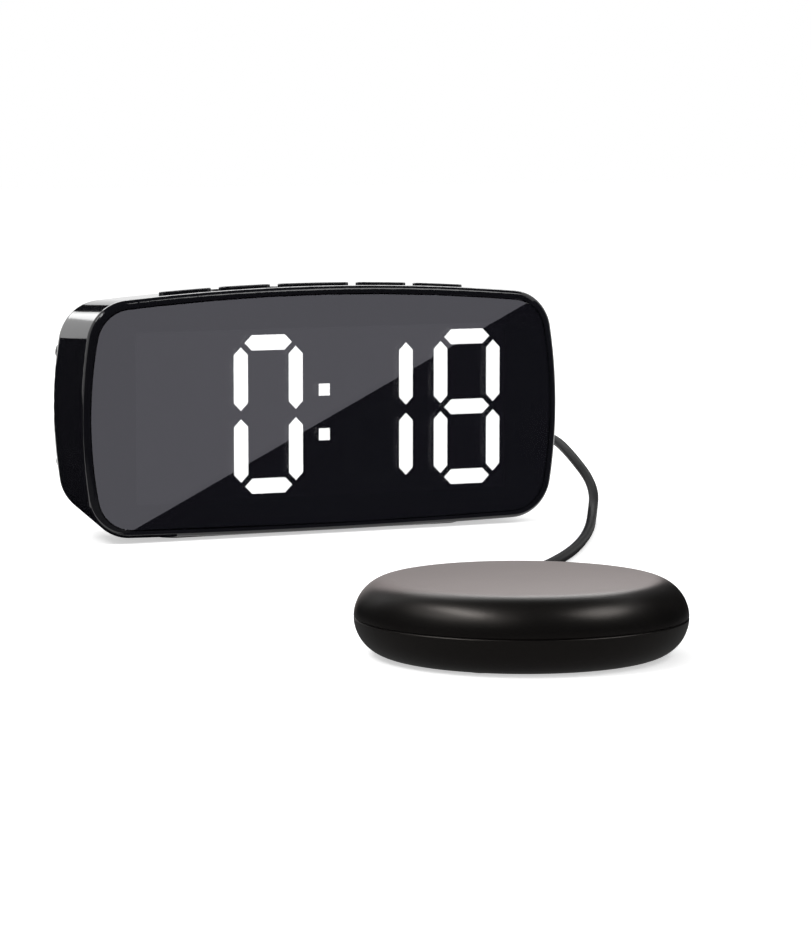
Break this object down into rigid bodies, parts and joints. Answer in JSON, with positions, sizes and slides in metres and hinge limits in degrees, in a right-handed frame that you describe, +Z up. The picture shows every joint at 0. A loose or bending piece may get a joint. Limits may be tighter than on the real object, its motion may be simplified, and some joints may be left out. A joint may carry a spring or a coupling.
{
  "type": "bed shaker alarm clock",
  "caption": "Digital alarm clock with a bowed smoked-mirror front, large lit digits and top buttons, and a round vibrating puck that lies under a pillow on a long cord.",
  "frame": {"origin": "on the table, under the middle of the clock, on the bottom face of its rubber pad", "axes": "+Z up, -Y towards the reader of the clock, +X to the reader's right"},
  "size_m": [0.2113, 0.3956, 0.0787],
  "materials": {
    "gloss_black": "gloss",
    "smoked_mirror": "smoked half mirror",
    "white_light": "lit diffuser",
    "dark_diffuser": "unlit diffuser",
    "reflector_black": "matte",
    "board_green": "solder mask",
    "led_white": "clear",
    "chip_black": "moulded",
    "switch_black": "moulded",
    "button_black": "gloss",
    "plunger_grey": "moulded",
    "cell_steel": "plated",
    "contact_nickel": "plated spring",
    "frame_steel": "zinc plated",
    "cone_paper": "pressed",
    "magnet_grey": "ferrite",
    "screw_steel": "plated",
    "pad_rubber": "matte",
    "puck_satin_black": "satin",
    "shaft_steel": "ground",
    "weight_brass": "turned",
    "cord_black": "satin",
    "lead_red": "satin",
    "pin_brass": "plated",
    "tie_black": "satin"
  },
  "bodies": {
    "clock": {"front_case": "gloss_black", "front_lens": "smoked_mirror", "lit_segments": "white_light", "dark_segments": "dark_diffuser", "digit_reflector": "reflector_black", "main_board": "board_green", "digit_leds": "led_white", "controller_chip": "chip_black", "key_board": "board_green", "switch_bodies": "switch_black", "rear_cover": "gloss_black", "coin_cell": "cell_steel", "cell_spring_contact": "contact_nickel", "cell_side_contact": "contact_nickel", "speaker_frame": "frame_steel", "speaker_cone": "cone_paper", "speaker_magnet": "magnet_grey", "jack_board": "board_green", "dc_socket": "switch_black", "shaker_socket": "switch_black", "board_screws": "screw_steel", "case_screws": "screw_steel", "base_pad": "pad_rubber", "lower_shell": "puck_satin_black", "upper_shell": "puck_satin_black", "shell_screws": "screw_steel", "motor_can": "frame_steel", "motor_end_cap": "switch_black", "motor_clamp": "frame_steel", "clamp_screws": "screw_steel", "shaker_strain_relief": "cord_black", "motor_leads": "lead_red", "plug_pin": "pin_brass", "plug_grip": "cord_black", "cord_run": "cord_black", "cord_coil": "cord_black", "cord_tail": "cord_black", "coil_tie": "tie_black"},
    "time_key": {"time_button": "button_black", "time_plunger": "plunger_grey"},
    "alarm_key": {"alarm_button": "button_black", "alarm_plunger": "plunger_grey"},
    "snooze_key": {"snooze_button": "button_black", "snooze_plunger": "plunger_grey"},
    "down_key": {"down_button": "button_black", "down_plunger": "plunger_grey"},
    "up_key": {"up_button": "button_black", "up_plunger": "plunger_grey"},
    "rotor": {"motor_shaft": "shaft_steel", "eccentric_weight": "weight_brass"},
    "door": {"battery_door": "gloss_black"}
  },
  "joints": [
    {"name": "time_press", "type": "slide", "parent": "clock", "child": "time_key", "axis": [0, 0, -1], "range_m": [0, 0.0005], "stiffness_N_per_m": 600},
    {"name": "alarm_press", "type": "slide", "parent": "clock", "child": "alarm_key", "axis": [0, 0, -1], "range_m": [0, 0.0005], "stiffness_N_per_m": 600},
    {"name": "snooze_press", "type": "slide", "parent": "clock", "child": "snooze_key", "axis": [0, 0, -1], "range_m": [0, 0.0005], "stiffness_N_per_m": 600},
    {"name": "down_press", "type": "slide", "parent": "clock", "child": "down_key", "axis": [0, 0, -1], "range_m": [0, 0.0005], "stiffness_N_per_m": 600},
    {"name": "up_press", "type": "slide", "parent": "clock", "child": "up_key", "axis": [0, 0, -1], "range_m": [0, 0.0005], "stiffness_N_per_m": 600},
    {"name": "rotor_spin", "type": "hinge", "parent": "clock", "child": "rotor", "pos_m": [-0.0572, -0.2669, 0.0095], "axis": [1, 0, 0], "continuous": true},
    {"name": "door_turn", "type": "hinge", "parent": "clock", "child": "door", "pos_m": [-0.004, 0.019, 0.038], "axis": [0, -1, 0], "range_deg": [0, 35]}
  ]
}
